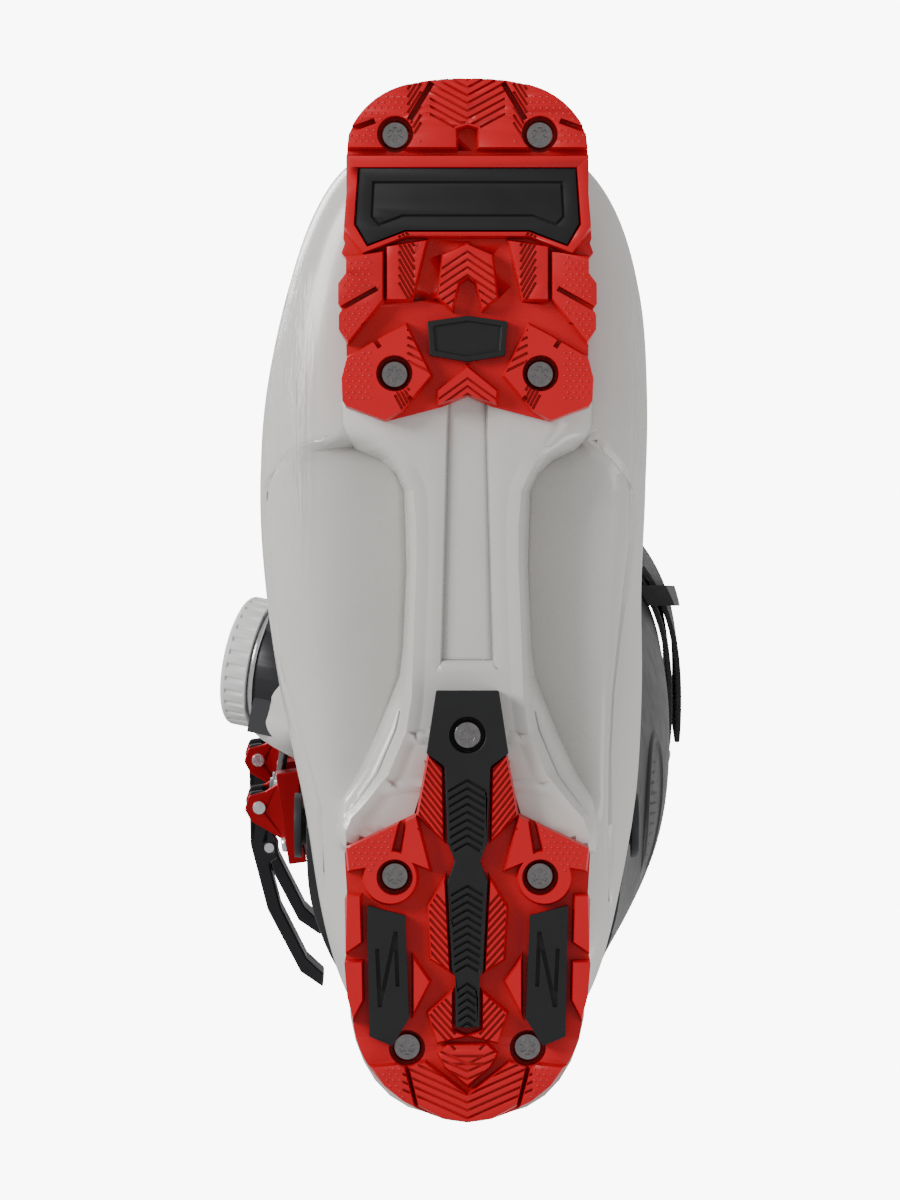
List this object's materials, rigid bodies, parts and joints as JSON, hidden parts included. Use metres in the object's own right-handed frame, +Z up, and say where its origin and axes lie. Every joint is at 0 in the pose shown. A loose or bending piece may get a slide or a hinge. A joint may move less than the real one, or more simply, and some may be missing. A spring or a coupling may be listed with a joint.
{
  "type": "alpine ski boot",
  "caption": "Right alpine ski boot: white shell with bolted red grip soles and black pads, charcoal cuff hinged at the ankle, lever buckles, lace dial, liner and power strap.",
  "frame": {"origin": "mid-sole mark: centre of the sole length and width on the ground plane under the flat tread", "axes": "+X to the toe, +Y to the medial (inner) side, +Z up; the lateral side with the buckles and dial is -Y"},
  "size_m": [0.3061, 0.1502, 0.3207],
  "materials": {
    "shell_white": "smooth semi-gloss moulded polyurethane",
    "sole_red": "satin moulded rubber-like plastic",
    "sole_black": "satin rubber",
    "screw_steel": "dark zinc-plated steel",
    "insert_brass": "turned brass",
    "board_grey": "matte moulded foam board",
    "liner_black": "woven lining over foam",
    "liner_red": "woven lining over foam",
    "cuff_charcoal": "satin moulded plastic",
    "spoiler_black": "satin moulded plastic",
    "bush_grey": "smooth plastic",
    "pivot_black": "textured moulded plastic",
    "dial_black": "satin moulded plastic",
    "dial_white": "satin moulded plastic",
    "trim_silver": "brushed aluminium",
    "strap_webbing": "woven webbing",
    "strap_loop_black": "satin moulded plastic",
    "buckle_red": "red anodised aluminium",
    "lever_black": "black anodised aluminium",
    "rivet_silver": "polished aluminium",
    "wire_steel": "dark plated steel",
    "sleeve_grey": "grey anodised aluminium",
    "rack_black": "black anodised aluminium"
  },
  "bodies": {
    "root": {"lower_shell": "shell_white", "shell_overlap": "shell_white", "toe_sole": "sole_red", "toe_pad": "sole_black", "toe_badge": "sole_black", "heel_sole": "sole_red", "heel_spine_plate": "sole_black", "heel_side_pads": "sole_black", "toe_screws": "screw_steel", "heel_screws": "screw_steel", "sole_inserts": "insert_brass", "boot_board": "board_grey", "liner_foot": "liner_black", "pivot_bolt_lateral": "pivot_black", "pivot_bolt_medial": "pivot_black", "dial_housing": "dial_black", "dial_trim": "trim_silver"},
    "cuff": {"cuff": "cuff_charcoal", "cuff_overlap": "cuff_charcoal", "spoiler": "spoiler_black", "liner_collar": "liner_black", "liner_tongue": "liner_red", "pivot_bush_lateral": "bush_grey", "pivot_bush_medial": "bush_grey", "power_strap": "strap_webbing", "strap_tail": "strap_webbing", "strap_loop": "strap_loop_black", "buckle_base_lower": "buckle_red", "lever_rivet_lower": "rivet_silver", "rack_lower": "rack_black", "base_rivets_lower": "rivet_silver", "buckle_base_upper": "buckle_red", "lever_rivet_upper": "rivet_silver", "rack_upper": "rack_black", "base_rivets_upper": "rivet_silver"},
    "lever_lower": {"buckle_lever_lower": "lever_black", "bail_pin_lower": "rivet_silver"},
    "bail_lower": {"bail_trunnion_lower": "wire_steel", "hook_lower": "wire_steel"},
    "sleeve_lower": {"adjuster_sleeve_lower": "sleeve_grey"},
    "lever_upper": {"buckle_lever_upper": "lever_black", "bail_pin_upper": "rivet_silver"},
    "bail_upper": {"bail_trunnion_upper": "wire_steel", "hook_upper": "wire_steel"},
    "sleeve_upper": {"adjuster_sleeve_upper": "sleeve_grey"},
    "dial_slider": {"dial_pawl": "dial_black"},
    "dial_grip": {"dial_knob": "dial_white"},
    "dial_reel": {"dial_spool": "dial_black"}
  },
  "joints": [
    {"name": "cuff_flex", "type": "hinge", "parent": "root", "child": "cuff", "pos_m": [-0.07, 0, 0.105], "axis": [0, 1, 0], "range_deg": [0, 8], "stiffness_Nm_per_rad": 150},
    {"name": "lever_open_lower", "type": "hinge", "parent": "cuff", "child": "lever_lower", "pos_m": [-0.066, -0.067, 0.186], "axis": [0.1378, -0.0194, 0.9903], "range_deg": [0, 120]},
    {"name": "bail_swing_lower", "type": "hinge", "parent": "lever_lower", "child": "bail_lower", "pos_m": [-0.07956, -0.06388, 0.18795], "axis": [0.1378, -0.0194, 0.9903], "range_deg": [-120, 0]},
    {"name": "sleeve_turn_lower", "type": "hinge", "parent": "bail_lower", "child": "sleeve_lower", "pos_m": [-0.07956, -0.06388, 0.18795], "axis": [0.9785, 0.1577, -0.1331], "continuous": true},
    {"name": "lever_open_upper", "type": "hinge", "parent": "cuff", "child": "lever_upper", "pos_m": [-0.052, -0.069, 0.236], "axis": [0.1378, -0.0194, 0.9903], "range_deg": [0, 120]},
    {"name": "bail_swing_upper", "type": "hinge", "parent": "lever_upper", "child": "bail_upper", "pos_m": [-0.06556, -0.06588, 0.23795], "axis": [0.1378, -0.0194, 0.9903], "range_deg": [-120, 0]},
    {"name": "sleeve_turn_upper", "type": "hinge", "parent": "bail_upper", "child": "sleeve_upper", "pos_m": [-0.06556, -0.06588, 0.23795], "axis": [0.9785, 0.1577, -0.1331], "continuous": true},
    {"name": "dial_pull", "type": "slide", "parent": "root", "child": "dial_slider", "axis": [0.1843, -0.9482, 0.2588], "range_m": [0, 0.004]},
    {"name": "dial_turn", "type": "hinge", "parent": "dial_slider", "child": "dial_grip", "pos_m": [-0.02, -0.0614, 0.092], "axis": [0.1843, -0.9482, 0.2588], "continuous": true},
    {"name": "reel_turn", "type": "hinge", "parent": "root", "child": "dial_reel", "pos_m": [-0.02, -0.0614, 0.092], "axis": [0.1843, -0.9482, 0.2588], "continuous": true}
  ],
  "couplings": [
    {"joint": "bail_swing_lower", "follows": "lever_open_lower", "ratio": -1},
    {"joint": "bail_swing_upper", "follows": "lever_open_upper", "ratio": -1},
    {"joint": "reel_turn", "follows": "dial_turn", "ratio": 1}
  ]
}
